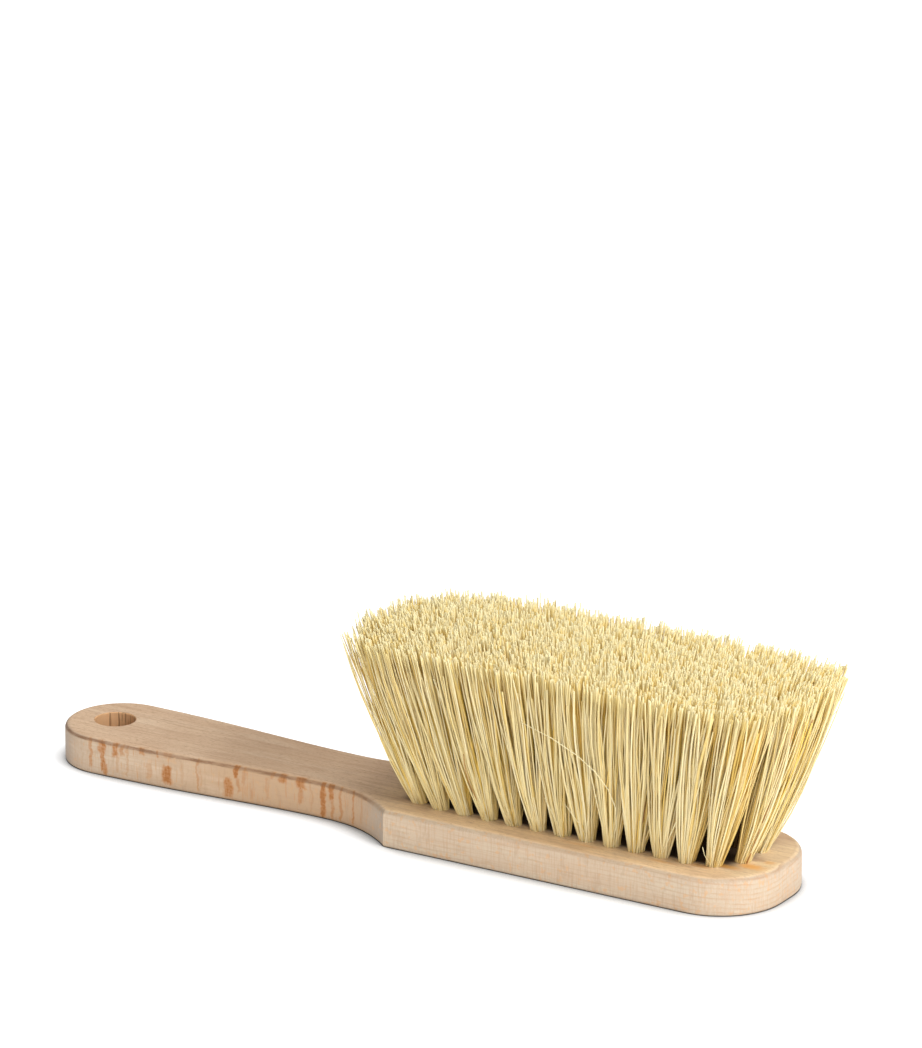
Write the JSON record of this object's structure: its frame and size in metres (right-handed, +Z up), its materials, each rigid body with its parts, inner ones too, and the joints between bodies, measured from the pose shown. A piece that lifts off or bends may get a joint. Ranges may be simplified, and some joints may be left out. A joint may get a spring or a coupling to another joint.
{
  "type": "clothes brush",
  "caption": "Handled wooden brush with a round-cornered head, a hanging hole and flared plant-fibre tufts trimmed level, for brushing clothes and dusting.",
  "frame": {"origin": "on the surface the brush lies on, under the centre of its bounding box", "axes": "+X from the handle to the toe of the head, +Y to the left of someone holding the handle with the bristles up, +Z up along the bristles"},
  "size_m": [0.3079, 0.0718, 0.078],
  "materials": {
    "stock": "matte",
    "bristles": "matte",
    "anchors": "satin"
  },
  "bodies": {
    "root": {"stock": "stock", "tuft_left_outer_01": "bristles", "tuft_left_outer_02": "bristles", "tuft_left_outer_03": "bristles", "tuft_left_outer_04": "bristles", "tuft_left_outer_05": "bristles", "tuft_left_outer_06": "bristles", "tuft_left_outer_07": "bristles", "tuft_left_outer_08": "bristles", "tuft_left_outer_09": "bristles", "tuft_left_outer_10": "bristles", "tuft_left_outer_11": "bristles", "tuft_left_outer_12": "bristles", "tuft_left_outer_13": "bristles", "tuft_left_inner_01": "bristles", "tuft_left_inner_02": "bristles", "tuft_left_inner_03": "bristles", "tuft_left_inner_04": "bristles", "tuft_left_inner_05": "bristles", "tuft_left_inner_06": "bristles", "tuft_left_inner_07": "bristles", "tuft_left_inner_08": "bristles", "tuft_left_inner_09": "bristles", "tuft_left_inner_10": "bristles", "tuft_left_inner_11": "bristles", "tuft_left_inner_12": "bristles", "tuft_left_inner_13": "bristles", "tuft_left_inner_14": "bristles", "tuft_right_inner_01": "bristles", "tuft_right_inner_02": "bristles", "tuft_right_inner_03": "bristles", "tuft_right_inner_04": "bristles", "tuft_right_inner_05": "bristles", "tuft_right_inner_06": "bristles", "tuft_right_inner_07": "bristles", "tuft_right_inner_08": "bristles", "tuft_right_inner_09": "bristles", "tuft_right_inner_10": "bristles", "tuft_right_inner_11": "bristles", "tuft_right_inner_12": "bristles", "tuft_right_inner_13": "bristles", "tuft_right_inner_14": "bristles", "tuft_right_outer_01": "bristles", "tuft_right_outer_02": "bristles", "tuft_right_outer_03": "bristles", "tuft_right_outer_04": "bristles", "tuft_right_outer_05": "bristles", "tuft_right_outer_06": "bristles", "tuft_right_outer_07": "bristles", "tuft_right_outer_08": "bristles", "tuft_right_outer_09": "bristles", "tuft_right_outer_10": "bristles", "tuft_right_outer_11": "bristles", "tuft_right_outer_12": "bristles", "tuft_right_outer_13": "bristles", "anchors_left_outer": "anchors", "anchors_left_inner": "anchors", "anchors_right_inner": "anchors", "anchors_right_outer": "anchors"}
  },
  "joints": []
}
